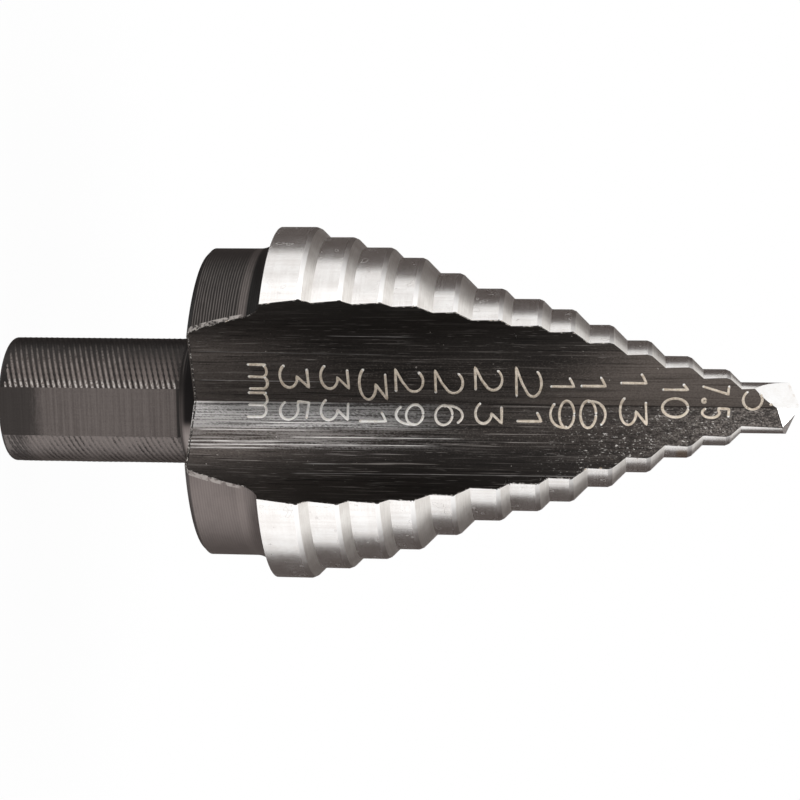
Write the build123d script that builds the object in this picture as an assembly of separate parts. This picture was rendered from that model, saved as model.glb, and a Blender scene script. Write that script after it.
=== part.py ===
from build123d import *
import os
from math import cos, radians, sin, tan

# Single-flute step drill for sheet metal, in millimetres. The drill's axis is Z: the origin is the
# centre of the flat shank end, +Z runs to the point, and the flute faces -Y.

# Driving dimensions: the turned body.
shank_diameter = 12.5
shank_length = 20.4             # end of the shank to the back of the collar
shank_end_radius = 0.45
neck_diameter = 12.4
neck_length = 2.2               # plain round stretch between the chuck flats and the collar
collar_diameter = 30.7
collar_length = 4.95
collar_edge_break = 0.4         # bevel round the back of the collar
step_diameters = [35, 33, 31, 29, 26, 23, 21, 19, 16, 13, 10, 7.5, 5]
step_pitch = 3.7                # from the start of one land to the start of the next
widest_land_length = 3.65
pilot_length = 5.7              # from the start of the smallest land to the tip
step_shoulder_angle = 45.0      # between a shoulder and the axis
step_edge_break = 0.25          # small bevel between a land and its shoulder

# Driving dimensions: the point, a cone set off the axis so that it falls away behind its cutting edge.
point_angle = 130.0
point_offset = 0.3              # cone's own axis, from the drill's axis towards the cutting edge
heel_slope = 35.6               # facet that clears the heel, falling from the tip
heel_turn = 46.0                # way that it falls, turned from +X towards the flute

# Driving dimensions: the three flats for the chuck's jaws.
chuck_flat_count = 3
chuck_flat_depth = 0.49
chuck_flat_clocking = 12.4      # first flat, turned from the flute's middle about the axis

# Driving dimensions: the flute, ground by a formed wheel that lifts out through the collar.
flute_floor_slope = 29.0        # each half of the floor, falling to the crease in the middle
flute_floor_width = 8.9         # both flat halves of the floor together
flute_corner_radius = 9.8       # hollow between the floor and the wall
flute_wall_lean = 21.0          # wall, leaning outwards
flute_lead_angle = 3.7          # between the crease and the axis
flute_web_at_point = 0.37       # crease ahead of the axis, level with the tip of the point
flute_straight_length = 35.5    # from the tip to where the wheel starts to lift
flute_wheel_radius = 52.5

# Driving dimensions: the gash that thins the web and gives the point its cutting edge.
gash_lead_angle = 8.9           # between the gash's valley and the axis, at the tip
gash_past_axis = 0.08           # valley behind the axis, level with the tip
gash_wheel_radius = 10.7
gash_wall_slope = 31.0

# Places along the axis that follow from the sizes above.
neck_start = shank_length - neck_length
collar_front = shank_length + collar_length
collar_fillet_radius = (step_diameters[0] - collar_diameter) / 2
widest_land_start = collar_front + collar_fillet_radius


def shoulder_length(larger, smaller):
    """Axial length of the shoulder between two step diameters."""
    return (larger - smaller) / 2 / tan(radians(step_shoulder_angle))


second_land_start = (widest_land_start + widest_land_length
                     + shoulder_length(step_diameters[0], step_diameters[1]))
land_starts = [widest_land_start] + [second_land_start + step_pitch * index
                                     for index in range(len(step_diameters) - 1)]
tip = land_starts[-1] + pilot_length
land_ends = [start - shoulder_length(larger, smaller) for larger, smaller, start
             in zip(step_diameters, step_diameters[1:], land_starts[1:])] + [tip]


def corner(diameter, height):
    """A point of the half section, drawn with the radius across and the height up."""
    return Vector(diameter / 2, height)


def turned_blank():
    """The shank, neck, collar and stepped cone, revolved from one half section."""
    step_corners = [corner(diameter, height)
                    for diameter, start, end in zip(step_diameters, land_starts, land_ends)
                    for height in (start, end)]
    behind_collar = Polyline(
        corner(0, 0),
        corner(shank_diameter, 0),
        corner(shank_diameter, neck_start),
        corner(neck_diameter, neck_start),
        corner(neck_diameter, shank_length),
        corner(collar_diameter, shank_length),
        corner(collar_diameter, collar_front),
    )
    collar_fillet = RadiusArc(corner(collar_diameter, collar_front), step_corners[0],
                              collar_fillet_radius)
    steps = Polyline(*step_corners, corner(0, tip))
    axis_line = Line(corner(0, tip), corner(0, 0))
    half_section = make_face([behind_collar, collar_fillet, steps, axis_line])
    step_corners_outside = [half_section.vertices().sort_by_distance(corner(diameter, end))[0]
                            for diameter, end in zip(step_diameters[:-1], land_ends[:-1])]
    half_section = chamfer(step_corners_outside, step_edge_break)
    collar_edge = half_section.vertices().sort_by_distance(corner(collar_diameter, shank_length))[0]
    half_section = chamfer(collar_edge, collar_edge_break)
    shank_end_edge = half_section.vertices().sort_by_distance(corner(shank_diameter, 0))[0]
    half_section = fillet(shank_end_edge, shank_end_radius)
    return revolve(Plane.YZ * half_section, Axis.Z, 360)


def chuck_flats():
    """The strips milled off the shank, one for each jaw of the chuck."""
    strip = Box(chuck_flat_depth * 2, shank_diameter, 2 * neck_start)
    return [Rot(0, 0, -90 + chuck_flat_clocking + 360 / chuck_flat_count * index)
            * Pos(shank_diameter / 2, 0, 0) * strip for index in range(chuck_flat_count)]


def point_grind():
    """What is ground off the end of the pilot to leave the cone of the point."""
    reach = step_diameters[-1]
    fall = reach / tan(radians(point_angle / 2))
    half_section = make_face(Polyline((0, 0), (reach, -fall), (reach, reach), (0, reach), close=True))
    return Pos(-point_offset, 0, tip) * revolve(Plane.XZ * half_section, Axis.Z, 360)


def heel_grind():
    """What is ground off the trailing corner of the point, above a sloping plane through the tip."""
    slope, turn = radians(heel_slope), radians(heel_turn)
    reach = step_diameters[-1]
    facet = Plane(origin=(0, 0, tip), z_dir=(sin(slope) * cos(turn), -sin(slope) * sin(turn), cos(slope)))
    return facet * Pos(0, 0, reach / 2) * Box(2 * reach, 2 * reach, reach)


def wheel_section():
    """The flute wheel's section: a V with hollow corners and leaning walls, with its crease at (0, 0)."""
    slope = radians(flute_floor_slope)
    wall_slope = radians(90 - flute_wall_lean)
    floor_end = Vector(flute_floor_width / 2, flute_floor_width / 2 * tan(slope))
    wall_start = floor_end + Vector(sin(wall_slope) - sin(slope),
                                    cos(slope) - cos(wall_slope)) * flute_corner_radius
    wall_height = step_diameters[0] / 2
    wall_end = wall_start + Vector(wall_height / tan(wall_slope), wall_height)
    right_half = [Line((0, 0), floor_end),
                  RadiusArc(floor_end, wall_start, -flute_corner_radius),
                  Line(wall_start, wall_end)]
    left_half = [mirror(edge, Plane.YZ) for edge in right_half]
    across_top = Line(wall_end, (-wall_end.X, wall_end.Y))
    return make_face([*right_half, across_top, *left_half])


def wheel_cut(section, contact, lead_angle, wheel_radius, straight_length):
    """What a wheel grinds away: a straight pass up past the tip, and the arc on which it lifts out.

    The section is a face drawn on a plane, and contact is where the wheel starts to lift.
    """
    lead = radians(lead_angle)
    along = Vector(0, sin(lead), cos(lead))
    towards_hub = Vector(0, -cos(lead), sin(lead))
    profile = Plane(origin=contact, x_dir=(-1, 0, 0), z_dir=along) * section
    hub = Axis(contact + towards_hub * wheel_radius, (-1, 0, 0))
    return extrude(profile, straight_length) + revolve(profile, hub, 60)


def flute_cutter():
    """The formed wheel's pass along the flute."""
    lead = radians(flute_lead_angle)
    crease_at_tip = Vector(0, -flute_web_at_point, tip)
    lift_out = crease_at_tip - Vector(0, sin(lead), cos(lead)) * flute_straight_length
    return wheel_cut(wheel_section(), lift_out, flute_lead_angle, flute_wheel_radius,
                     flute_straight_length + step_diameters[-1])


def gash_cutter():
    """The V ground into the point: one flat wall under the cutting edge, one sloping wall."""
    reach = step_diameters[-1]
    wall_end = Vector(-reach, reach * tan(radians(gash_wall_slope)))
    section = make_face(Polyline((0, 0), (reach, 0), (reach, wall_end.Y), wall_end, close=True))
    return wheel_cut(section, Vector(0, gash_past_axis, tip), gash_lead_angle, gash_wheel_radius, reach)


step_drill = (turned_blank() - chuck_flats() - point_grind() - heel_grind()
              - flute_cutter() - gash_cutter())

os.makedirs("parts", exist_ok=True)
export_step(step_drill, "parts/step_drill.step")
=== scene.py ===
import math
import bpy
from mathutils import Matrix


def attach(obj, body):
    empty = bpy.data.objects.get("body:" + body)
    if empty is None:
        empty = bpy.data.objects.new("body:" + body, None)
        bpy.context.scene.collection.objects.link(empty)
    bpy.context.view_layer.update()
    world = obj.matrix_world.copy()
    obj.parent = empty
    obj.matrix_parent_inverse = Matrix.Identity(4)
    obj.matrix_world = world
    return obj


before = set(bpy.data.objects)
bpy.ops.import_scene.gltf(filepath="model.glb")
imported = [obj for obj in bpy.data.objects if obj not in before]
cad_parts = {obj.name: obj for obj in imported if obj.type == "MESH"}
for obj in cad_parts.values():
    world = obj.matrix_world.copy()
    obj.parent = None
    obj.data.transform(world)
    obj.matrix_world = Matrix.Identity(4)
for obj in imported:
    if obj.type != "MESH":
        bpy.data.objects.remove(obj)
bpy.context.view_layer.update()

from types import SimpleNamespace

import bmesh
import bpy
from mathutils import Matrix, Vector, noise
from mathutils.bvhtree import BVHTree

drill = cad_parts["step_drill"]
mm = 0.001

# --------------------------------------------------------------------
# The drill: one bar of high-speed steel, turned, blackened all over, then ground bright on the
# steps and the point. The flute keeps its black skin. It stands on the end of its shank, with its
# axis on Z, and the flute faces -Y.
# --------------------------------------------------------------------

shank_radius = 6.25 * mm
neck_start = 18.2 * mm
shank_length = 20.4 * mm
collar_radius = 15.35 * mm
collar_front = 25.35 * mm
ground_start = 27.5 * mm                # of the bright steps, above the hollow in front of the collar
step_diameters = [35, 33, 31, 29, 26, 23, 21, 19, 16, 13, 10, 7.5, 5]
step_pitch = 3.7 * mm
second_start = 32.15 * mm
step_starts = [ground_start] + [second_start + step_pitch * i for i in range(len(step_diameters) - 1)]
pilot_start = step_starts[-1] + 0.1 * mm
flat_distance = 5.76 * mm               # of the chuck flats from the axis


def plug(socket, value):
    """Puts a link, a number or a colour into a socket."""
    if isinstance(value, Link):
        value.tree.links.new(value.socket, socket)
    else:
        socket.default_value = value


class Link:
    """A socket of a material. Arithmetic on it adds Math nodes; node() adds any other node."""

    def __init__(self, tree, socket):
        self.tree = tree
        self.socket = socket

    def node(self, kind, settings=None, inputs=None, output=0):
        """One output of a new node. Its settings are made first, and then its sockets are filled."""
        made = self.tree.nodes.new(kind)
        for name, value in (settings or {}).items():
            setattr(made, name, value)
        for name, value in (inputs or {}).items():
            plug(made.inputs[name], value)
        return Link(self.tree, made.outputs[output] if made.outputs else None)

    def maths(self, operation, *others):
        return self.node("ShaderNodeMath", {"operation": operation},
                         dict(enumerate((self, *others))))

    def __add__(self, other):
        return self.maths("ADD", other)

    def __sub__(self, other):
        return self.maths("SUBTRACT", other)

    def __rsub__(self, other):
        return (self * -1).maths("ADD", other)

    def __mul__(self, other):
        return self.maths("MULTIPLY", other)

    def __truediv__(self, other):
        return self.maths("DIVIDE", other)

    def __pow__(self, other):
        return self.maths("POWER", other)

    __radd__ = __add__
    __rmul__ = __mul__

    def stretched(self, x, y, z):
        """A place, with each of its axes scaled."""
        return self.node("ShaderNodeVectorMath", {"operation": "MULTIPLY"}, {0: self, 1: (x, y, z)})

    def grain(self, detail=3.0, roughness=0.55):
        """Even noise from 0 to 1 at this place, one cell to the unit."""
        return self.node("ShaderNodeTexNoise", {}, {"Vector": self, "Scale": 1.0, "Detail": detail,
                                                    "Roughness": roughness})

    def between(self, low, high):
        """0 at low and 1 at high, with a soft start and end. Low may be the greater."""
        return self.node("ShaderNodeMapRange", {"interpolation_type": "SMOOTHSTEP"},
                         {0: self, 1: low, 2: high})

    def mixed(self, under, over):
        """The colour under, covered by the colour over as far as this value says."""
        return self.node("ShaderNodeMix", {"data_type": "RGBA"},
                         {0: self, 6: (*under, 1) if isinstance(under, tuple) else under,
                          7: (*over, 1) if isinstance(over, tuple) else over}, 2)


def empty_material(name):
    """A new material without nodes, and what its first nodes are made from."""
    material = bpy.data.materials.new(name)
    material.use_nodes = True
    material.node_tree.nodes.clear()
    return material, Link(material.node_tree, None)


def new_finish(name):
    """A new material, and the place on the drill in millimetres that its pattern starts from."""
    material, start = empty_material(name)
    return material, start.node("ShaderNodeTexCoord", output=3).stretched(1 / mm, 1 / mm, 1 / mm)


def finish_with(place, colour, metallic, roughness, height):
    """The material's surface. The height of its relief is in millimetres."""
    relief = place.node("ShaderNodeBump", {}, {"Strength": 1.0, "Distance": mm, "Height": height})
    shader = place.node("ShaderNodeBsdfPrincipled", {}, {
        "Base Color": colour, "Metallic": metallic, "Roughness": roughness, "Normal": relief})
    place.node("ShaderNodeOutputMaterial", {}, {"Surface": shader})


def parts_of(place):
    """Its x across the flute, y through the drill from the flute to the back, and z up the axis."""
    return [place.node("ShaderNodeSeparateXYZ", {}, {0: place}, axis) for axis in range(3)]


def turn_of(place):
    """The direction from the axis, from -1 on the -X side to 1 on the +X side."""
    x, y, _ = parts_of(place)
    return x / (x * x + y * y + 0.01).maths("SQRT")


def ground_land():
    """Cylindrically ground lands: near-mirror steel with faint rings, scuffs and a few nicks.

    A tan stain is left beside the flute, near the point.
    """
    material, place = new_finish("ground_land")
    x, _, z = parts_of(place)
    rings = place.stretched(0.12, 0.12, 9.0).grain(4.0)
    fine_rings = place.stretched(0.3, 0.3, 34.0).grain(2.0)
    patches = place.stretched(0.35, 0.35, 0.5).grain()
    streaks = place.stretched(2.2, 2.2, 0.06).grain(2.0)
    grit = place.stretched(11.0, 11.0, 11.0).grain(2.0)
    nicks = place.stretched(1.9, 1.9, 1.9).grain(2.0).between(0.72, 0.77)
    curls = place.stretched(0.75, 0.75, 0.75).grain(1.0)
    scuffs = (curls - 0.68).maths("ABSOLUTE").between(0.016, 0.004) * grit.between(0.35, 0.5)
    stain = z.between(66.3, 66.9) * z.between(68.3, 67.5) * x.between(4.0, 4.5)

    shade = (patches * 0.4 + streaks * 0.25 + rings * 0.15 + grit * 0.2).between(0.36, 0.66)
    colour = shade.mixed((0.80, 0.765, 0.74), (0.95, 0.935, 0.92))
    colour = (nicks * 0.55).mixed(colour, (0.42, 0.37, 0.33))
    colour = (stain * patches.between(0.30, 0.48) * 0.7).mixed(colour, (0.60, 0.46, 0.32))
    colour = (scuffs * 0.22).mixed(colour, (0.40, 0.36, 0.335))
    roughness = 0.15 + rings * 0.08 + patches * 0.05 + grit * 0.05 + nicks * 0.2 + scuffs * 0.15
    height = rings * 0.0014 + fine_rings * 0.0006 + grit * 0.0022 - nicks * 0.004 + scuffs * 0.004
    finish_with(place, colour, 1.0, roughness, height)
    return material


def ground_shoulder():
    """The 45 degree shoulders that do the cutting: the same steel, left a little coarser."""
    material, place = new_finish("ground_shoulder")
    rings = place.stretched(0.25, 0.25, 22.0).grain()
    patches = place.stretched(0.5, 0.5, 0.9).grain()
    grit = place.stretched(10.0, 10.0, 10.0).grain(2.0)
    shade = (rings * 0.4 + patches * 0.4 + grit * 0.2).between(0.35, 0.66)
    colour = shade.mixed((0.74, 0.70, 0.66), (0.95, 0.92, 0.88))
    finish_with(place, colour, 1.0, 0.24 + rings * 0.14, rings * 0.003 + grit * 0.001)
    return material


def bevel_with_painted_highlight():
    """The narrow bevel between each land and its shoulder, with a painted highlight: bright where it faces
    ±Y and dark where it faces ±X.
    """
    material, place = new_finish("bevel_with_painted_highlight")
    x, y, _ = parts_of(place)
    wear_and_glint = place.stretched(1.3, 1.3, 3.0).grain()
    facing = y.maths("ABSOLUTE") / (x * x + y * y).maths("SQRT")
    # Painted highlight: bright where the bevel faces ±Y, dark where it faces ±X.
    painted_light = (facing + (wear_and_glint - 0.5) * 0.12).between(0.30, 0.74)
    colour = painted_light.mixed((0.43, 0.39, 0.37), (0.96, 0.945, 0.93))
    finish_with(place, colour, 1.0, 0.28 + wear_and_glint * 0.15, wear_and_glint * 0.002)
    return material


point_fall = 0.466                      # of the point's cone, for each millimetre away from the axis


def ground_point():
    """The faces of the point, ground brightest of all, with a brown rim along the cutting lip."""
    material, place = new_finish("ground_point")
    x, _, z = parts_of(place)
    lines = place.stretched(9.0, 9.0, 1.2).grain()
    patches = place.stretched(1.1, 1.1, 1.1).grain()
    shade = (lines * 0.4 + patches * 0.6).between(0.35, 0.65)
    colour = shade.mixed((0.93, 0.91, 0.89), (0.99, 0.985, 0.98))
    blots = place.stretched(2.2, 2.2, 2.2).grain().between(0.5, 0.62)
    near_lip = (z - x * point_fall).between(78.25, 78.6)
    colour = (near_lip * blots * 0.5).mixed(colour, (0.72, 0.63, 0.55))
    finish_with(place, colour, 1.0, 0.24 + lines * 0.12, lines * 0.001)
    return material


def ground_heel():
    """The facet that clears the heel of the point, ground coarser and dull."""
    material, place = new_finish("ground_heel")
    lines = place.stretched(7.0, 7.0, 3.0).grain()
    colour = lines.between(0.3, 0.7).mixed((0.21, 0.185, 0.175), (0.34, 0.31, 0.295))
    finish_with(place, colour, 0.9, 0.45 + lines * 0.15, lines * 0.003)
    return material


def oxide_with_painted_side_light(place, dark, painted_light):
    """Black oxide with painted light: nearly black on the -X side, painted lighter brown-grey on the +X
    side.
    """
    blotches = place.stretched(0.22, 0.22, 0.22).grain()
    # Painted light: the +X side is painted lighter than the -X side.
    painted_light_share = (turn_of(place) * 0.5 + 0.5 + (blotches - 0.5) * 0.5).between(0.30, 0.85)
    return painted_light_share.mixed(dark, painted_light)


# The flute as its wheel ground it, in millimetres as the patterns of the finishes are.
flute_lead_angle = math.radians(3.7)
flute_lead = math.tan(flute_lead_angle)
crease_at_point = 0.37                  # ahead of the axis
tip_height = 78.55                      # of the point before its gash
wheel_radius = 52.5
lift_out_z = 43.12                      # where the wheel starts to climb out
lift_out_depth = crease_at_point + (tip_height - lift_out_z) * flute_lead
wheel_hub_z = lift_out_z + wheel_radius * math.sin(flute_lead_angle)
wheel_hub_depth = lift_out_depth + wheel_radius * math.cos(flute_lead_angle)
hollow_radius = 9.8                     # of each side of the flute
hollow_centre = (-0.301, 11.038)        # of that radius, across from the crease and above it


def down_the_flute(place):
    """Place on the flute as the wheel passed it: across, above the crease, and along."""
    x, y, z = parts_of(place)
    line = (tip_height - z) * flute_lead + crease_at_point
    arc = wheel_hub_depth - (wheel_radius ** 2 - (wheel_hub_z - z) ** 2).maths("SQRT")
    lifted = z.maths("LESS_THAN", lift_out_z)
    return x, y + line + lifted * (arc - line), z


def past_the_flute(place):
    """How far a place on the turned body is from the hollow side of the flute, in millimetres."""
    x, above, _ = down_the_flute(place)
    across = x.maths("ABSOLUTE") - hollow_centre[0]
    rise = above + hollow_centre[1]
    return (across * across + rise * rise).maths("SQRT") - hollow_radius


def neck_and_edge(place, colour):
    """The colour with painted shadow over the neck except on its +X side, which has painted light, and a
    worn edge to the flute.
    """
    _, _, z = parts_of(place)
    side = turn_of(place)
    neck = z.between(20.35, 20.2)
    neck_painted_shadow = neck * side.between(0.45, 0.30) * z.between(18.2, 18.9)
    neck_painted_light = neck * side.between(0.35, 0.6) * z.between(18.3, 18.8)
    # Painted shadow over the neck under the collar, except on its +X side, and a painted dark line where
    # it meets the flats.
    colour = (neck_painted_shadow * 0.93).mixed(colour, (0.006, 0.0045, 0.0045))
    colour = (neck * z.between(18.55, 18.35) * 0.6).mixed(colour, (0.012, 0.010, 0.0095))

    burred = place.stretched(2.4, 2.4, 2.4).grain(3.0, 0.6)
    from_flute = past_the_flute(place)
    wear_and_glint = from_flute.between(0.08, 0.02) * burred.between(0.38, 0.56)
    wear_and_glint = wear_and_glint * z.between(20.2, 20.6) * z.between(25.8, 25.2)
    chipped = from_flute.between(0.26, 0.10) * burred.between(0.35, 0.29)
    colour = (wear_and_glint * 0.7).mixed(colour, (0.44, 0.405, 0.38))
    colour = (chipped * 0.6).mixed(colour, (0.006, 0.005, 0.005))
    # The painted shadow deepened, and painted light on the neck's +X side.
    colour = (neck_painted_shadow * 0.5).mixed(colour, (0.003, 0.0025, 0.0025))
    return (neck_painted_light * 0.75).mixed(colour, (0.33, 0.29, 0.275))


tool_mark_pitch = 0.25                  # of the turning marks round the collar, in mm


def black_turned():
    """The turned collar and neck under black oxide, with tool marks dark in their valleys and pale on
    their crests, partly wear and partly painted shade and glint, and painted light and shade by side.
    """
    material, place = new_finish("black_turned")
    _, _, z = parts_of(place)
    side = turn_of(place)
    upper = side.between(0.3, -0.4)
    waver = place.stretched(0.10, 0.10, 0.9).grain(1.0)
    turns = ((z + waver * 0.25) * (2 * math.pi / tool_mark_pitch)).maths("SINE") * 0.5 + 0.5
    broken = place.stretched(0.7, 0.7, 14.0).grain(3.0, 0.6)
    lines = turns * 0.5 + broken * 0.5
    strength = (side * side).between(0.93, 0.72) * (side * side).between(0.10, 0.26)
    blots = place.stretched(0.5, 0.5, 0.9).grain()
    grit = place.stretched(11.0, 11.0, 11.0).grain(2.0)

    # Painted light: the oxide is painted lighter on the +X side.
    colour = oxide_with_painted_side_light(place, (0.044, 0.0375, 0.035), (0.205, 0.173, 0.163))
    # Painted shade: the blots are painted darker on the -X side.
    colour = (blots.between(0.58, 0.36) * (0.08 + upper * 0.3)).mixed(colour, (0.030, 0.026, 0.025))
    # Tool marks as painted shade and glint, partly wear: stronger on the -X side, faded towards the
    # outline.
    valley = lines.between(0.54, 0.34) * strength * (0.12 + upper * 0.46)
    colour = valley.mixed(colour, (0.010, 0.009, 0.0085))
    crest = lines.between(0.56, 0.74) * strength * (0.08 + upper * 0.27)
    colour = crest.mixed(colour, (0.25, 0.225, 0.21))
    # Painted light on the near part of the hollow before the widest land, and painted shade in its concave
    # far part at the land's foot, on the -X side.
    fillet_painted_light = z.between(25.0, 25.25) * z.between(26.0, 25.75)
    colour = (fillet_painted_light * (0.14 + broken * 0.26)).mixed(colour, (0.27, 0.23, 0.215))
    land_foot_painted_shade = z.between(25.75, 26.1) * side.between(0.3, -0.3)
    colour = (land_foot_painted_shade * 0.92).mixed(colour, (0.006, 0.0055, 0.005))
    # Painted shade on the chamfer at the collar's back, darkest on the -X side.
    back_chamfer_painted_shade = z.between(20.95, 20.7) * z.between(20.3, 20.45)
    colour = (back_chamfer_painted_shade * (0.55 + side.between(0.2, -0.2) * 0.4)).mixed(colour, (0.010, 0.009, 0.009))
    height = lines * strength * 0.006 + grit * 0.002
    finish_with(place, neck_and_edge(place, colour), 0.85, 0.40 + grit * 0.08, height)
    return material


def black_shank():
    """The shank between the flats, under black oxide, with painted light: brown-grey on the +X side."""
    material, place = new_finish("black_shank")
    patches = place.stretched(0.35, 0.35, 0.5).grain(4.0)
    grains = place.stretched(6.0, 6.0, 6.0).grain()
    # Painted light: the oxide is painted lighter on the +X side.
    base = oxide_with_painted_side_light(place, (0.038, 0.033, 0.031), (0.17, 0.148, 0.14))
    colour = (patches * 0.6 + grains * 0.4).between(0.6, 0.35).mixed(base, (0.02, 0.0175, 0.0165))
    finish_with(place, colour, 0.85, 0.42, grains * 0.003)
    return material


def chuck_flat():
    """The milled flats: smooth brown-grey oxide with faint marks across them, dark at the shank's end, and
    a painted shadow line at their other end.
    """
    material, place = new_finish("chuck_flat")
    _, _, z = parts_of(place)
    across = place.stretched(0.12, 0.12, 5.5).grain()
    along = place.stretched(6.0, 6.0, 0.15).grain(2.0)
    grains = place.stretched(11.0, 11.0, 11.0).grain(2.0)
    shade = across * 0.45 + along * 0.10 + grains * 0.45
    base = shade.between(0.34, 0.66).mixed((0.094, 0.079, 0.0735), (0.150, 0.128, 0.120))
    end = place.stretched(0.6, 0.6, 3.0).grain() * 1.2 + grains * 0.5 + z * 0.9
    colour = (end.between(5.3, 3.5) * 0.80).mixed(base, (0.024, 0.0205, 0.019))
    # Painted shadow: a dark line at the end of each flat, by its low step up to the neck.
    colour = (z.between(17.75, 17.95) * 0.85).mixed(colour, (0.010, 0.009, 0.0085))
    colour = (grains.between(0.74, 0.80) * 0.4).mixed(colour, (0.30, 0.27, 0.25))
    finish_with(place, colour, 0.8, 0.45, shade * 0.003)
    return material


def flute_patterns(place):
    """Where a place lies in the flute, and the lines, grit and pits that its looks are mixed from."""
    x, above, z = down_the_flute(place)
    path = place.node("ShaderNodeCombineXYZ", {}, {0: x, 1: above, 2: z})
    lower_half = x.between(-0.03, 0.08)
    return SimpleNamespace(
        x=x,
        z=z,
        from_crease=x.maths("ABSOLUTE"),
        lower_half=lower_half,
        smooth=(1 - lower_half) * (z + x * 1.6).between(47.0, 60.0),
        rough=lower_half * z.between(50.0, 62.0),
        broad=path.stretched(0.9, 0.9, 0.03).grain(2.0),
        lines=path.stretched(4.0, 4.0, 0.05).grain(3.0, 0.7),
        threads=path.stretched(6.4, 6.4, 0.11).grain(2.0, 0.6),
        hairs=path.stretched(9.0, 9.0, 0.5).grain(2.0),
        grit=place.stretched(7.5, 7.5, 6.0).grain(2.0),
        speckle=place.stretched(7.5, 7.5, 3.6).grain(),
        pits=place.stretched(5.5, 5.5, 3.6).grain(),
    )


def flute_skin(flute):
    """The black skin: painted shade darkest in the hollow sides and on the walls, painted light towards
    the collar, paler by the crease, brown and mottled by the point.
    """
    shade = flute.broad * 0.25 + flute.lines * 0.35 + flute.threads * 0.2 + flute.grit * 0.2
    shade = shade.between(0.38, 0.62)
    colour = shade.mixed((0.0125, 0.0105, 0.0093), (0.050, 0.0415, 0.037))
    # Painted light: paler towards the collar, where the flute runs out shallow.
    colour = (flute.z.between(39.0, 19.0) * 0.62).mixed(colour, (0.095, 0.080, 0.072))
    colour = (flute.grit.between(0.56, 0.70) * 0.30).mixed(colour, (0.17, 0.145, 0.13))
    # Painted shade deep in the hollow sides.
    hollow = flute.from_crease.between(2.6, 5.0) * flute.z.between(22.0, 36.0)
    hollow = hollow * (1 - flute.z.between(52.0, 64.0))
    colour = (hollow * 0.66).mixed(colour, (0.0085, 0.0072, 0.0065))
    by_crease = flute.from_crease.between(2.4, 0.4) * (0.25 + shade * 0.35)
    colour = by_crease.mixed(colour, (0.090, 0.078, 0.071))

    even = (flute.lines * 0.35 + flute.threads * 0.25 + flute.grit * 0.4).between(0.35, 0.62)
    brown = even.mixed((0.072, 0.0595, 0.052), (0.128, 0.108, 0.096))
    colour = flute.smooth.mixed(colour, brown)
    mottles = (flute.pits * 0.5 + flute.grit * 0.5).between(0.40, 0.66)
    mottled = mottles.mixed((0.026, 0.0225, 0.0205), (0.175, 0.154, 0.140))
    colour = (flute.lower_half * flute.z.between(59.0, 71.0) * 0.85).mixed(colour, mottled)
    # Painted shade on the walls, and painted light on the +X wall towards the collar.
    wall = flute.from_crease.between(4.6, 7.6)
    colour = (wall * 0.8).mixed(colour, (0.0205, 0.0172, 0.0153))
    pale_wall = wall * flute.lower_half * flute.z.between(42.0, 24.0)
    colour = (pale_wall * 0.7).mixed(colour, (0.062, 0.053, 0.048))

    dark_lines = flute.threads.between(0.46, 0.36) * flute.lines.between(0.55, 0.42)
    colour = (dark_lines * (0.8 - flute.smooth * 0.5)).mixed(colour, (0.006, 0.005, 0.0045))
    dark_specks = flute.speckle.between(0.44, 0.34) * (0.45 - flute.smooth * 0.35)
    return dark_specks.mixed(colour, (0.009, 0.0078, 0.007))


def painted_streak_highlight(flute, colour):
    """The colour with a painted highlight on the floor beside the crease, and how far each place is
    painted bright.
    """
    ragged_z = flute.z + (flute.lines * 7 + flute.threads * 4)
    band = flute.lower_half * (flute.x + (flute.lines - 0.5) * 0.8).between(2.65, 2.30)
    band = band * ragged_z.between(53.0, 40.5)
    half_band = flute.lower_half * flute.x.between(4.65, 4.40) * ragged_z.between(55.0, 41.0)

    towards_collar = flute.z.between(40.0, 31.0)
    highlight_threads = (flute.lines * 0.30 + flute.threads * 0.45 + flute.speckle * 0.25).between(0.44, 0.55)
    highlight_threads = highlight_threads * (0.55 + towards_collar * 0.45) + highlight_threads * highlight_threads * (1 - towards_collar) * 0.35
    shine = (0.02 + towards_collar * 0.08 + highlight_threads * 0.72) * (0.50 + flute.x.between(2.2, 0.9) * 0.50)
    shine = shine * (0.80 + flute.z.between(21.0, 33.0) * 0.40)
    shine = shine * (1 - flute.x.between(1.2, 2.0) * flute.z.between(32.0, 22.0) * 0.35)
    shine = shine * (1 - flute.x.between(2.2, 1.7) * 0.28)

    # Painted highlight: the band beside the crease on the +X half is laid dark, then painted bright along
    # its threads.
    colour = (band * 0.85).mixed(colour, (0.055, 0.051, 0.049))
    colour = (band * shine).mixed(colour, (0.80, 0.785, 0.775))
    # A fainter painted highlight further out on the +X half.
    half_band = half_band * highlight_threads * (0.28 + flute.z.between(22.0, 33.0) * 0.08)
    return half_band.mixed(colour, (0.32, 0.305, 0.298)), band


def threaded(flute, colour):
    """The colour with the pale threads and hairs that the wheel left along the flute."""
    pale_threads = flute.threads.between(0.57, 0.68) * flute.lines.between(0.45, 0.57)
    pale_threads = pale_threads * (1 - flute.smooth) * (1 - flute.rough * 0.85)
    colour = (pale_threads * (0.20 + flute.lower_half * 0.30)).mixed(colour, (0.36, 0.33, 0.31))
    pale_hairs = flute.hairs.between(0.64, 0.74) * (1 - flute.smooth * 0.8) * (1 - flute.rough * 0.7)
    return (pale_hairs * 0.28).mixed(colour, (0.40, 0.37, 0.35))


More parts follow.
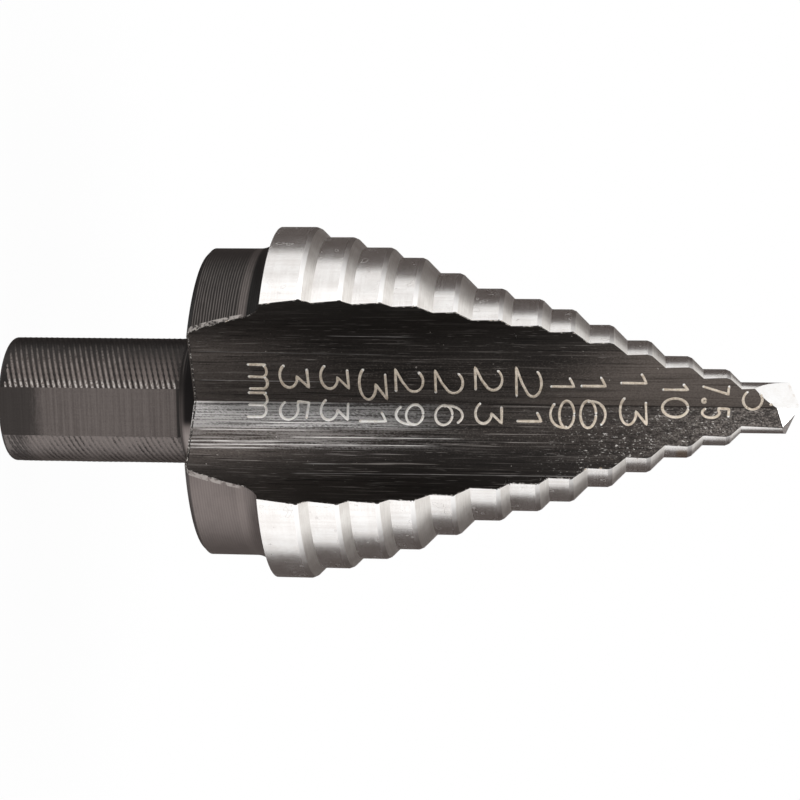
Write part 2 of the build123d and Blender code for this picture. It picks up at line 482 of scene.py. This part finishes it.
def pitted(flute, place, colour):
    """The colour with dark pits and bright sparks on the +X half near the point, and a few specks."""
    flecks = place.stretched(6.4, 6.4, 3.0).grain(3.0, 0.6)
    hollows = place.stretched(1.6, 1.6, 1.1).grain()
    pits = flute.rough * hollows.between(0.50, 0.36)
    colour = (pits * 0.55).mixed(colour, (0.012, 0.010, 0.0095))
    sparks = (flecks * 0.75 + hollows * 0.25).between(0.58, 0.66) * flute.lower_half
    sparks = sparks * flute.z.between(51.0, 62.0) * (0.30 + flute.z.between(75.0, 69.0) * 0.45)
    colour = sparks.mixed(colour, (0.62, 0.59, 0.56))
    specks = place.stretched(2.6, 2.6, 2.6).grain(2.0).between(0.74, 0.79)
    return (specks * 0.6).mixed(colour, (0.46, 0.42, 0.39))


# The longest scratches that grit in the wheel left down the flute: place across it, where each one
# starts and ends along it and its width, in millimetres, and how pale it is from 0 to 1.
wheel_scores = [
    (-6.4, 33, 41, 0.05, 0.25), (-4.7, 21, 38, 0.04, 0.15), (-2.0, 21, 34, 0.05, 0.40),
    (0.06, 20, 33, 0.09, 0.80), (1.98, 27, 35, 0.06, 0.70), (2.70, 21, 33, 0.07, 0.55),
    (3.38, 29.5, 45, 0.06, 0.75), (3.78, 20, 29, 0.06, 0.70), (4.10, 20, 43, 0.06, 0.70),
    (4.42, 20, 27, 0.05, 0.50), (5.90, 31, 34, 0.05, 0.50), (6.80, 30, 58, 0.05, 0.30),
]


def scored(flute, colour):
    """The colour with the longest scratches over it, and painted shade in the crease near the point."""
    wander = (flute.broad - 0.5) * 0.05
    broken = 0.45 + flute.hairs.between(0.35, 0.6) * 0.55
    for across, start, end, width, pale in wheel_scores:
        off_line = (flute.x - across + wander).maths("ABSOLUTE")
        along = flute.z.between(start - 0.3, start + 0.8) * flute.z.between(end + 1.5, end - 1.5)
        score = off_line.between(width, width * 0.35) * along * broken
        colour = (score * pale).mixed(colour, (0.72, 0.69, 0.67))
    # Painted shade in the crease near the point.
    crease = (flute.x + 0.02).maths("ABSOLUTE").between(0.10, 0.03) * flute.z.between(46.0, 50.0)
    return (crease * 0.75).mixed(colour, (0.010, 0.008, 0.007))


def black_flute():
    """The flute: streaked lengthways by the wheel under its black skin, with a painted highlight beside
    the crease.

    A band of the floor beside the crease on the +X half is painted bright as a highlight. Near the point
    the +X half is pitted and the -X half is smooth and brown.
    """
    material, place = new_finish("black_flute")
    flute = flute_patterns(place)
    colour, band = painted_streak_highlight(flute, flute_skin(flute))
    colour = scored(flute, pitted(flute, place, threaded(flute, colour)))
    roughness = 0.34 + flute.lines * 0.20 - band * 0.06
    height = flute.lines * 0.010 + flute.threads * 0.007 + flute.grit * 0.003 + flute.speckle * 0.006
    height = height + flute.pits * (flute.lower_half * flute.z.between(47.0, 62.0)) * 0.02
    finish_with(place, colour, 0.85, roughness, height)
    return material


finishes = {
    "land": ground_land, "shoulder": ground_shoulder, "bevel": bevel_with_painted_highlight, "point": ground_point,
    "heel": ground_heel, "collar": black_turned, "shank": black_shank, "flat": chuck_flat,
    "flute": black_flute,
}
drill.data.materials.clear()
for make in finishes.values():
    drill.data.materials.append(make())

heel_slope = math.radians(35.6)         # of the facet that clears the heel, falling from the tip
heel_turn = math.radians(46.0)          # way that it falls, turned from +X towards the flute
heel_normal = Vector((math.sin(heel_slope) * math.cos(heel_turn),
                      -math.sin(heel_slope) * math.sin(heel_turn), math.cos(heel_slope)))


def turned_radius(z):
    """Radius of the turned body at a height above the shank, with its corners sharp."""
    if z < collar_front:
        return collar_radius
    if z < ground_start:
        rise = step_diameters[0] / 2 * mm - collar_radius
        return collar_radius + rise - math.sqrt(max(0.0, rise ** 2 - (z - collar_front) ** 2))
    for larger, smaller, start in zip(step_diameters, step_diameters[1:], step_starts[1:]):
        if z < start:
            shoulder_foot = start - (larger - smaller) / 2 * mm
            return larger / 2 * mm - max(0.0, z - shoulder_foot)
    return step_diameters[-1] / 2 * mm


def surface_of(face):
    """Which of the drill's surfaces a facet belongs to.

    Of the steps, a land faces straight out, its bevel 22.5 degrees off that and a shoulder 45.
    """
    centre, normal = face.center, face.normal
    margin = 0.01 * mm
    radius = math.hypot(centre.x, centre.y)
    outward = (centre.x * normal.x + centre.y * normal.y) / max(radius, 1e-9)
    if centre.z < neck_start - margin and normal.z > -0.5:
        on_flat = radius * outward < flat_distance + margin and outward > 0.85
        return "flat" if on_flat else "shank"
    if centre.z < shank_length + margin:
        return "collar"
    if centre.z > pilot_start and normal.z > 0.15:
        return "heel" if normal.dot(heel_normal) > 0.999 else "point"
    if outward > 0.3 and abs(radius - turned_radius(centre.z)) < 0.2 * mm:
        if centre.z < ground_start:
            return "collar"
        if outward > 0.97:
            return "land"
        return "bevel" if outward > 0.85 else "shoulder"
    return "collar" if normal.z < -0.3 else "flute"


surfaces = list(finishes)
for face in drill.data.polygons:
    face.material_index = surfaces.index(surface_of(face))

# --------------------------------------------------------------------
# Size numbers: each step's diameter, etched through the black skin along the floor of the flute,
# read with the point upwards. A single stroke of the needle draws each line.
# --------------------------------------------------------------------

stroke_width = 0.30 * mm
stroke_proud = 0.012 * mm
stroke_sunk = 0.03 * mm
stroke_wander = 0.22                    # share of its width that a stroke swells and thins by
stroke_rounding = 0.135 * mm            # length over which the end of a stroke narrows
station_spacing = 0.09 * mm             # between the cross sections that a stroke is built from
bright_stations = 2                     # at each end of a stroke
shortest_bright = 15                    # stations of the shortest stroke that has bright ends

drill_surface = BVHTree.FromPolygons([v.co for v in drill.data.vertices],
                                     [list(p.vertices) for p in drill.data.polygons])


def on_flute(x, z):
    """The point of the flute straight behind a place across and along it, and the way out of it."""
    hit, normal, _, _ = drill_surface.ray_cast(Vector((x, -0.1, z)), Vector((0, 1, 0)))
    return (hit, normal) if hit else (None, None)


def bow(across, up, width, height, start, end, steps=14):
    """Points of an oval arc in a character's box. Degrees run from its right side up over the top."""
    angles = [math.radians(start + (end - start) * i / steps) for i in range(steps + 1)]
    return [(across + width / 2 * math.cos(a), up + height / 2 * math.sin(a)) for a in angles]


# Each character's strokes, in a box one wide and one high.
characters = {
    "0": [bow(0.5, 0.5, 1, 1, 90, 450, 28)],
    "1": [[(0.0, 0.80), (0.45, 0.90), (1.0, 1.0), (1.0, 0.0)]],
    "2": [bow(0.52, 0.66, 0.92, 0.68, 152, -38) + [(0.55, 0.24), (0.0, 0.0), (0.5, 0.0), (1.0, 0.0)]],
    "3": [[(0.18, 0.97), (0.97, 1.0), (0.52, 0.60)] + bow(0.5, 0.31, 0.98, 0.62, 68, -158)],
    "5": [[(0.95, 0.96), (0.12, 1.0), (0.06, 0.62)] + bow(0.5, 0.32, 0.98, 0.64, 118, -150)],
    "6": [bow(0.5, 0.31, 0.98, 0.62, 90, 450, 24), bow(0.52, 0.46, 0.98, 1.06, 200, 40)],
    "7": [[(0.0, 1.0), (0.55, 0.98), (1.0, 0.98), (0.12, 0.0)]],
    "9": [bow(0.5, 0.69, 0.98, 0.62, 90, 450, 24), bow(0.48, 0.54, 0.98, 1.06, 20, -140)],
    "m": [[(0.0, 0.0), (0.0, 1.0)], bow(0.26, 0.74, 0.50, 0.50, 165, 0) + [(0.5, 0.0)],
          bow(0.75, 0.74, 0.50, 0.50, 165, 0) + [(1.0, 0.0)]],
    ".": [bow(0.5, 0.5, 1, 1, 90, 450, 12)],
    "'": [[(0.0, 0.0), (0.0, 1.0)]],
    "c": [bow(0.5, 0.5, 1, 1, 138, -152, 22)],
}

# Where each character stands, in millimetres: its foot along the drill, its height, its left side
# across the flute and its width.
size_marks = [
    ("m", 25.40, 1.75, -3.55, 2.3), ("m", 25.25, 1.75, -0.85, 2.3),
    ("3", 28.32, 2.62, -3.66, 2.28), ("5", 28.25, 2.62, -0.18, 1.9),
    ("3", 32.12, 2.62, -3.68, 2.36), ("3", 32.05, 2.62, -0.38, 2.1),
    ("3", 35.76, 2.60, -3.45, 3.15), ("1", 35.76, 2.60, 0.84, 0.93),
    ("2", 39.28, 2.66, -3.32, 2.2), ("9", 39.25, 2.68, 0.08, 2.0),
    ("2", 43.14, 2.66, -3.24, 2.22), ("6", 43.12, 2.68, 0.12, 1.95),
    ("2", 47.04, 2.60, -3.58, 2.22), ("3", 47.02, 2.60, -0.22, 2.1),
    ("2", 51.02, 2.43, -3.61, 2.85), ("1", 51.04, 2.43, 0.66, 0.92),
    ("1", 54.29, 2.33, -2.72, 0.89), ("9", 54.31, 2.34, -0.47, 2.69),
    ("1", 57.22, 2.45, -2.82, 0.91), ("6", 57.25, 2.46, -0.51, 2.69),
    ("1", 61.07, 2.55, -3.19, 0.94), ("3", 61.11, 2.57, -0.96, 2.8),
    ("1", 65.16, 2.49, -2.24, 0.58), ("0", 65.21, 2.51, -0.81, 1.82),
    ("7", 69.02, 2.61, -2.14, 0.86), (".", 69.08, 0.36, -0.80, 0.34), ("5", 69.07, 2.62, 0.04, 0.99),
    ("c", 73.03, 1.85, -1.69, 1.85), ("'", 75.56, 0.36, -0.33, 1.0),
]


def new_piece(name, vertices, faces, material):
    """A piece of one mesh, with its faces smooth and all facing outwards."""
    mesh = bpy.data.meshes.new(name)
    mesh.from_pydata([tuple(v) for v in vertices], [], faces)
    mesh.materials.append(material)
    mesh.validate()
    work = bmesh.new()
    work.from_mesh(mesh)
    bmesh.ops.recalc_face_normals(work, faces=work.faces)
    work.to_mesh(mesh)
    work.free()
    mesh.polygons.foreach_set("use_smooth", [True] * len(mesh.polygons))
    piece = bpy.data.objects.new(name, mesh)
    bpy.context.collection.objects.link(piece)
    return piece


def eased(points, spacing):
    """The same line with more points, about this far apart, so that a bend is followed closely."""
    line = [points[0]]
    for near, far in zip(points, points[1:]):
        steps = max(1, round(math.dist(near, far) / spacing))
        line += [(near[0] + (far[0] - near[0]) * i / steps, near[1] + (far[1] - near[1]) * i / steps)
                 for i in range(1, steps + 1)]
    return line


def add_stroke(vertices, faces, bright_faces, line):
    """One needle stroke: a low flat ridge along a line on the flute, with round bright ends."""
    line = eased(line, station_spacing)
    last = len(line) - 1
    profile = [(-1.0, -stroke_sunk), (-0.8, stroke_proud * 0.7), (0.0, stroke_proud),
               (0.8, stroke_proud * 0.7), (1.0, -stroke_sunk)]
    first = len(vertices)
    for i, (x, z) in enumerate(line):
        before, after = line[max(i - 1, 0)], line[min(i + 1, last)]
        run = Vector((after[0] - before[0], 0, after[1] - before[1])).normalized()
        side = Vector((run.z, 0, -run.x))
        from_end = min(i, last - i) * station_spacing / stroke_rounding
        rounding = math.sqrt(max(0.06, 1 - max(0.0, 1 - from_end) ** 2))
        wander = noise.noise(Vector((x, 0, z)) * 900) * stroke_wander
        half = stroke_width / 2 * rounding * (1 + wander)
        for across, rise in profile:
            at = Vector((x, 0, z)) + side * across * half
            hit, normal = on_flute(at.x, at.z)
            vertices.append(hit + normal * rise)
    count = len(profile)
    end_length = bright_stations if last > shortest_bright else 0
    for i in range(last):
        if i < end_length or i >= last - end_length:
            bright_faces.update(range(len(faces), len(faces) + count))
        for j in range(count - 1):
            a = first + i * count + j
            faces.append((a, a + 1, a + count + 1, a + count))
        faces.append((first + i * count, first + (i + 1) * count,
                      first + (i + 1) * count + count - 1, first + i * count + count - 1))
    faces.append(tuple(first + j for j in range(count)))
    faces.append(tuple(first + last * count + j for j in range(count)))


def etched_mark():
    """Steel with a straw tint where the needle burned the black away, and painted light: whiter on the +X
    half towards the collar.
    """
    material, place = new_finish("etched_mark")
    blots = place.stretched(2.5, 2.5, 2.5).grain()
    beads = place.stretched(9.0, 9.0, 9.0).grain(2.0)
    x, _, z = parts_of(place)
    mixed = (blots * 0.55 + beads * 0.45).between(0.32, 0.66)
    colour = mixed.mixed((0.50, 0.405, 0.305), (0.84, 0.75, 0.64))
    # Painted light: the marks on the +X half towards the collar are painted whiter.
    painted_light = x.between(-0.5, 0.4) * z.between(52.0, 38.0)
    colour = (painted_light * (0.6 + mixed * 0.4)).mixed(colour, (1.0, 0.985, 0.96))
    finish_with(place, colour, 0.25 + painted_light * 0.25, 0.52, beads * 0.006)
    return material


def etched_end():
    """Where the needle came down and lifted off: brighter, with more relief."""
    material, place = new_finish("etched_end")
    beads = place.stretched(7.0, 7.0, 7.0).grain(2.0)
    colour = beads.between(0.35, 0.6).mixed((0.74, 0.66, 0.56), (0.98, 0.96, 0.93))
    finish_with(place, colour, 0.35, 0.42, beads * 0.01)
    return material


mark_vertices, mark_faces, mark_ends = [], [], set()
for character, foot, height, left, width in size_marks:
    for stroke in characters[character]:
        add_stroke(mark_vertices, mark_faces, mark_ends,
                   [((left + width * x) * mm, (foot + height * z) * mm) for x, z in stroke])
marks = new_piece("size_numbers", mark_vertices, mark_faces, etched_mark())
marks.data.materials.append(etched_end())
for face in mark_ends:
    marks.data.polygons[face].material_index = 1
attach(marks, "root")

# --------------------------------------------------------------------
# Shank ridges: the shank was turned with a coarse many-start knurl before its flats were milled,
# so fine slanting ridges stand on the round strips between the flats.
# --------------------------------------------------------------------

ridge_starts = 21                       # knurled ridges round the shank, each a long slow helix
ridge_lead = 11.53 * mm
ridge_height = 0.045 * mm
ridge_root = 0.012 * mm                 # of the valleys, below the turned shank
ridges_from = 0.5 * mm                  # where the rounding of the shank's end is over
ridge_fade_from = 0.55 * mm
ridge_fade = 0.5 * mm
flat_count = 3
flat_clocking = 12.4                    # of the first flat, from the flute's middle about the axis
flat_half_angle = math.degrees(math.acos(flat_distance / shank_radius))


def ridged_oxide():
    """The ridges: black in their valleys, pale along their crests and beside the flats as wear and painted
    glint, with painted light and shade by side.
    """
    material, place = new_finish("ridged_oxide")
    x, y, z = parts_of(place)
    turn = (x * -1).maths("ARCTAN2", y * -1)
    lead = ridge_lead / mm
    phase = (z + turn * (lead / (2 * math.pi))) * (2 * math.pi * ridge_starts / lead)
    crest = phase.maths("COSINE") * 0.5 + 0.5
    upper = turn.between(-0.2, 0.5)
    gripped = z.between(11.8, 13.0) * turn.between(1.15, 0.75) * turn.between(0.20, 0.34)
    facing = turn.between(1.38, 0.22)
    end_dark = z.between(3.4, 1.8) * (1 - upper)
    broken = place.stretched(1.1, 1.1, 0.9).grain(4.0, 0.65)
    beads = place.stretched(6.0, 6.0, 6.0).grain()
    grit = place.stretched(13.0, 13.0, 13.0).grain(2.0)

    # Painted light and shade: darker as the strip turns towards the outline, and lighter on the +X side.
    base = (facing * facing).mixed((0.011, 0.0092, 0.0085), (0.165, 0.136, 0.125))
    base = turn.between(0.1, -0.35).mixed(base, (0.195, 0.166, 0.156))
    base = (end_dark * 0.8).mixed(base, (0.030, 0.026, 0.025))
    base = (grit.between(0.6, 0.35) * 0.35).mixed(base, (0.02, 0.0175, 0.0165))
    # The valleys are painted darker on the -X side, as painted shade.
    depth = 0.10 + upper * (0.75 - facing * 0.30) + end_dark * 0.5
    valley = crest.between(0.72, 0.10) * depth * (1 - gripped * 0.75)
    colour = valley.mixed(base, (0.0085, 0.0075, 0.007))
    lit = (broken * 0.5 + beads * 0.5).between(0.36, 0.60) * (1 - gripped * 0.8)
    # Painted glint, partly wear, along the crests, strongest on the -X side.
    wear_and_glint = crest.between(0.60, 0.97) * lit * (0.10 + upper * 0.36) * turn.between(1.30, 0.6)
    colour = wear_and_glint.mixed(colour, (0.38, 0.335, 0.31))
    by_end = z.between(17.9, 17.0)
    # Painted shadow on the -X side next to the neck.
    colour = ((1 - by_end) * 0.5 * upper).mixed(colour, (0.02, 0.017, 0.016))
    # Painted glint on the crests beside the flats.
    by_flat = turn.between(0.36, 0.215) * upper
    bright = by_flat * crest.between(0.55, 0.85) * beads.between(0.40, 0.56)
    colour = (bright * 0.9).mixed(colour, (0.78, 0.74, 0.70))
    finish_with(place, colour, 0.8, 0.40, beads * 0.006 + grit * 0.002)
    return material


def ridge_rise(turn, z):
    """Height of the ridges over the round shank. turn is in degrees from the flute, towards -X."""
    phase = (z + ridge_lead * turn / 360) * ridge_starts / ridge_lead
    wave = 0.5 + 0.5 * math.cos(2 * math.pi * phase)
    wear_and_glint = 0.75 + 0.5 * noise.noise(Vector((turn * 0.05, z * 300, 3.0)))
    fade = max(0.0, min(1.0, (z - ridge_fade_from) / ridge_fade, (neck_start - z) / ridge_fade))
    return ridge_height * wear_and_glint * wave ** 1.6 * fade - ridge_root


ridge_vertices, ridge_faces = [], []
columns, rows = 60, 250
flat_pitch = 360 / flat_count
for flat in range(flat_count):
    start = -flat_clocking + flat_pitch * flat + flat_half_angle
    first = len(ridge_vertices)
    for i in range(columns + 1):
        turn = start + (flat_pitch - 2 * flat_half_angle) * i / columns
        angle = math.radians(turn)
        for j in range(rows + 1):
            z = ridges_from + (neck_start - ridges_from) * j / rows
            radius = shank_radius + ridge_rise(turn, z)
            ridge_vertices.append((-radius * math.sin(angle), -radius * math.cos(angle), z))
    for i in range(columns):
        for j in range(rows):
            a = first + i * (rows + 1) + j
            ridge_faces.append((a, a + 1, a + rows + 2, a + rows + 1))
ridges = new_piece("shank_ridges", ridge_vertices, ridge_faces, ridged_oxide())
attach(ridges, "root")

# --------------------------------------------------------------------
# Burrs: ragged steel that the flute wheel turned up where it broke through the collar and the
# steps, and where it left the back of the collar. Low uneven ridges along those edges, and a few
# hairs of steel still hanging on.
# --------------------------------------------------------------------

burr_reach = 0.07 * mm                  # of a burr's foot, to each side of the edge
burr_sunk = 0.02 * mm
burr_spacing = 0.09 * mm
first_burr = shank_length + 0.45 * mm
last_burr = 60 * mm                     # the smaller steps are left clean


def flute_edge(z, side):
    """The edge of the flute on the turned body at one height, on its -X side (-1) or +X side (1).

    It is found by halving, between a direction in the flute and one on the round body.
    """
    low, high = 10.0, 88.0
    for _ in range(14):
        halfway = (low + high) / 2
        turn = math.radians(halfway)
        out = Vector((math.sin(turn) * side, -math.cos(turn), 0))
        hit, normal, _, _ = drill_surface.ray_cast(out * 0.05 + Vector((0, 0, z)), -out)
        outward = normal.x * out.x + normal.y * out.y
        if outward > 0.6 and math.hypot(hit.x, hit.y) > turned_radius(z) - 0.1 * mm:
            high = halfway
        else:
            low = halfway
    return math.radians(high)


def raggedness(along, coarse, rows, fine_share):
    """How far the steel is torn up at a place along an edge: coarse tears with finer ones on them.

    Coarse is how many tears there are to the metre. Each edge has rows of its own, so none match.
    """
    tears = noise.noise(Vector((along * coarse, rows[0], 0.3)))
    return tears + fine_share * noise.noise(Vector((along * 5200, rows[1], 4.0)))


def add_burr(vertices, faces, line):
    """A ridge with three corners along a line of (left foot, crest, right foot)."""
    first = len(vertices)
    for stations in line:
        vertices.extend(stations)
    for i in range(len(line) - 1):
        a = first + 3 * i
        faces.extend([(a, a + 1, a + 4, a + 3), (a + 1, a + 2, a + 5, a + 4), (a + 2, a, a + 3, a + 5)])
    end = first + 3 * (len(line) - 1)
    faces.extend([(first, first + 1, first + 2), (end, end + 1, end + 2)])


def add_surface_burr(vertices, faces, stations):
    """A burr on the flute's side. Each station is where it stands, how deep its feet go, its height.

    A station stands at three places, each an (x, z): its left foot, its crest and its right foot.
    """
    line = []
    for places, foot_sunk, height in stations:
        hits = [on_flute(x, z) for x, z in places]
        if all(hit is not None for hit, _ in hits):
            line.append([hit + normal * rise for (hit, normal), rise
                         in zip(hits, (-foot_sunk, height, -foot_sunk))])
    if len(line) > 1:
        add_burr(vertices, faces, line)


def burr_steel():
    """Torn steel: bright where it has been rubbed, black in its folds."""
    material, place = new_finish("burr_steel")
    torn = place.stretched(3.0, 3.0, 2.0).grain(3.0, 0.6)
    grit = place.stretched(9.0, 9.0, 9.0).grain(2.0)
    shade = (torn * 0.7 + grit * 0.3).between(0.50, 0.64)
    colour = shade.mixed((0.030, 0.026, 0.024), (0.66, 0.62, 0.58))
    colour = torn.between(0.66, 0.72).mixed(colour, (0.45, 0.33, 0.20))
    finish_with(place, colour, 0.8, 0.42, grit * 0.01)
    return material


burr_vertices, burr_faces = [], []
for side in (-1, 1):
    line = []
    for step in range(round((last_burr - first_burr) / burr_spacing) + 1):
        z = first_burr + burr_spacing * step
        radius = turned_radius(z)
        edge = flute_edge(z, side)
        tallest, gap = (0.12 * mm, 0.02 * mm) if z < collar_front else (0.11 * mm, 0.045 * mm)
        height = max(0.0, raggedness(z, 1300, (side * 5.0, side * 9.0), 0.6) * tallest - gap)
        feet = []
        for away, rise in ((-burr_reach, -burr_sunk), (0, height - burr_sunk / 2),
                           (burr_reach, -burr_sunk)):
            turn = edge + away / radius
            out = Vector((math.sin(turn) * side, -math.cos(turn), 0))
            feet.append(out * (radius + rise) + Vector((0, 0, z)))
        feet[0] += Vector((-math.sin(edge) * side, math.cos(edge), 0)) * burr_reach
        line.append(feet)
    add_burr(burr_vertices, burr_faces, line)

back_half_width = 6.95 * mm             # of the burr where the flute leaves the collar's back
back_feet = [0.05 * mm, 0.14 * mm, 0.26 * mm]   # its first foot, crest and other foot, up the flute
back_lowest = 0.02 * mm
back_torn = 0.13 * mm                   # more height where it is torn up most
stations = []
for step in range(int(2 * back_half_width / burr_spacing) + 1):
    x = step * burr_spacing - back_half_width
    height = back_lowest + max(0.0, raggedness(x, 1500, (2.0, 3.0), 0.7)) * back_torn
    stations.append(([(x, shank_length + back) for back in back_feet], burr_sunk, height))
add_surface_burr(burr_vertices, burr_faces, stations)

# Each hair's root across and along the flute, and how far it runs across and along, in millimetres.
hairs = [(7.72, 50.2, -0.62, 0.16), (7.66, 50.7, -0.50, -0.22), (7.30, 53.5, -0.55, 0.30),
         (7.05, 54.1, -0.40, -0.10), (6.62, 57.1, -0.50, 0.20), (-6.9, 50.9, 0.45, 0.30)]
hair_half_width = 0.045 * mm
hair_joints = 5
for x, z, across, along in hairs:
    stations = []
    for joint in range(hair_joints + 1):
        part = joint / hair_joints
        centre_x = (x + across * part) * mm
        centre_z = (z + along * part * (1.6 - part)) * mm
        half = hair_half_width * (1.1 - part)
        stations.append(([(centre_x, centre_z + side * half) for side in (-1, 0, 1)],
                         burr_sunk / 2, (0.05 + 0.08 * part) * mm))
    add_surface_burr(burr_vertices, burr_faces, stations)
burrs = new_piece("edge_burrs", burr_vertices, burr_faces, burr_steel())
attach(burrs, "root")

# --------------------------------------------------------------------
# Studio: a white bench and backdrop, a broad soft light from each side for dull surfaces, and what
# the steel reflects: two tall glows, a lamp for the streak in the flute, and a dark card behind
# the drill with a narrow light seam at one edge.
# --------------------------------------------------------------------

camera_distance = 204.81 * mm
camera_height = 60.45 * mm
camera_turn = math.radians(5.90)        # towards the shank
camera_tilt = math.radians(0.094)
camera_roll = math.radians(0.717)
picture_width = 800
focal_length = 2065.27                  # in pixels of that width
sensor_width = 36.0

camera = bpy.data.objects.new("camera", bpy.data.cameras.new("camera"))
bpy.context.collection.objects.link(camera)
camera.data.sensor_width = sensor_width
camera.data.lens = focal_length / picture_width * sensor_width
camera.data.clip_start = 0.01
camera.data.clip_end = 20
facing_flute = Matrix.Rotation(math.radians(90), 4, "X") @ Matrix.Rotation(math.radians(90), 4, "Z")
camera.matrix_world = (Matrix.Translation((0, -camera_distance, camera_height)) @ facing_flute
                       @ Matrix.Rotation(camera_turn, 4, "Y") @ Matrix.Rotation(camera_tilt, 4, "X")
                       @ Matrix.Rotation(camera_roll, 4, "Z"))
scene = bpy.context.scene
scene.camera = camera
scene.view_settings.view_transform = "Standard"

middle = Vector((0, 0, 45 * mm))        # of the drill, which the lights face


def add_panel(name, direction, distance, across, tall, strength, lights_steel=True, lights_dull=True):
    """A soft light that faces the middle of the drill. Its strength is its brightness when seen."""
    panel = bpy.data.objects.new(name, bpy.data.lights.new(name, "AREA"))
    bpy.context.collection.objects.link(panel)
    panel.data.shape = "RECTANGLE"
    panel.data.size = across
    panel.data.size_y = tall
    panel.data.energy = strength * math.pi * across * tall
    towards = Vector(direction).normalized()
    panel.location = middle + towards * distance
    panel.rotation_euler = towards.to_track_quat("Z", "Y").to_euler()
    panel.visible_glossy = lights_steel
    panel.visible_diffuse = lights_dull
    panel.visible_camera = False


def round_the_drill(degrees):
    """A level direction, in degrees from straight in front of the flute towards -X."""
    return Vector((-math.sin(math.radians(degrees)), -math.cos(math.radians(degrees)), 0))


add_panel("lower_softbox", round_the_drill(-62), distance=0.55, across=0.55, tall=0.7, strength=2.0,
          lights_steel=False)
add_panel("upper_softbox", round_the_drill(60), distance=0.6, across=0.4, tall=0.7, strength=4.0,
          lights_steel=False)
add_panel("streak_lamp", round_the_drill(58) + Vector((0, 0, 0.45)), distance=0.6, across=0.12,
          tall=0.2, strength=8.0, lights_dull=False)
add_panel("upper_glow", round_the_drill(73), distance=0.7, across=0.26, tall=1.4, strength=0.22,
          lights_dull=False)
add_panel("lower_glow", round_the_drill(-78), distance=0.7, across=0.40, tall=1.4, strength=0.18,
          lights_dull=False)

card_radius = 0.5
card_low, card_high = -0.6, 0.39        # its foot and its top, above the bench


def plain(name, colour, strength=1.0):
    """A studio surface that shows one brightness from any side."""
    material, start = empty_material(name)
    shade = start.node("ShaderNodeEmission", {}, {"Color": (*colour, 1), "Strength": strength})
    start.node("ShaderNodeOutputMaterial", {}, {"Surface": shade})
    return material


def add_card(name, start, end, steps, material):
    """An upright card round part of the drill, between two directions. Only reflections show it."""
    vertices = [round_the_drill(start + (end - start) * i / steps) * card_radius + Vector((0, 0, height))
                for i in range(steps + 1) for height in (card_low, card_high)]
    faces = [(2 * i, 2 * i + 1, 2 * i + 3, 2 * i + 2) for i in range(steps)]
    card = new_piece(name, vertices, faces, material)
    card.visible_camera = False
    card.visible_diffuse = False
    card.visible_shadow = False
    card.visible_transmission = False


add_card("dark_card", 113, 247, 48, plain("dark_card", (1.0, 0.84, 0.785), 0.089))
add_card("light_seam", 87.5, 91.5, 1, plain("light_seam", (0.74, 0.73, 0.72)))

def seen_directly(start):
    """1 where the camera, a mirror or glass looks at the surface, and 0 where it only gives light."""
    rays = [start.node("ShaderNodeLightPath", output=name)
            for name in ("Is Camera Ray", "Is Glossy Ray", "Is Transmission Ray")]
    return rays[0].maths("MAXIMUM", rays[1]).maths("MAXIMUM", rays[2])


def bench_white():
    """White where it is looked at, with a faint shadow close to the drill, and pale to the light."""
    material, start = empty_material("bench")
    dull = start.node("ShaderNodeBsdfDiffuse", {}, {"Color": (0.9, 0.9, 0.9, 1)})
    glow = start.node("ShaderNodeEmission", {}, {"Color": (1, 1, 1, 1), "Strength": 1.0})
    spot = start.node("ShaderNodeTexCoord", output=3).stretched(1, 1, 0)
    away = start.node("ShaderNodeVectorMath", {"operation": "LENGTH"}, {0: spot}, 1)
    white = seen_directly(start) * (0.97 + away.between(0.02, 0.08) * 0.03)
    mixed = start.node("ShaderNodeMixShader", {}, {0: white, 1: dull, 2: glow})
    start.node("ShaderNodeOutputMaterial", {}, {"Surface": mixed})
    return material


bench_radius = 0.3
bench_sides = 96
bench_rim = [2 * math.pi * i / bench_sides for i in range(bench_sides)]
bench = new_piece("bench", [(bench_radius * math.cos(turn), bench_radius * math.sin(turn), 0)
                            for turn in bench_rim], [tuple(range(bench_sides))], bench_white())
bench.visible_glossy = False

world = bpy.data.worlds.new("studio")
scene.world = world
world.use_nodes = True
world.node_tree.nodes.clear()
start = Link(world.node_tree, None)
room = start.node("ShaderNodeBackground", {}, {"Color": (1, 1, 1, 1), "Strength": 0.35})
backdrop = start.node("ShaderNodeBackground", {}, {"Color": (1, 1, 1, 1), "Strength": 1.0})
both = start.node("ShaderNodeMixShader", {}, {0: seen_directly(start), 1: room, 2: backdrop})
start.node("ShaderNodeOutputWorld", {}, {"Surface": both})
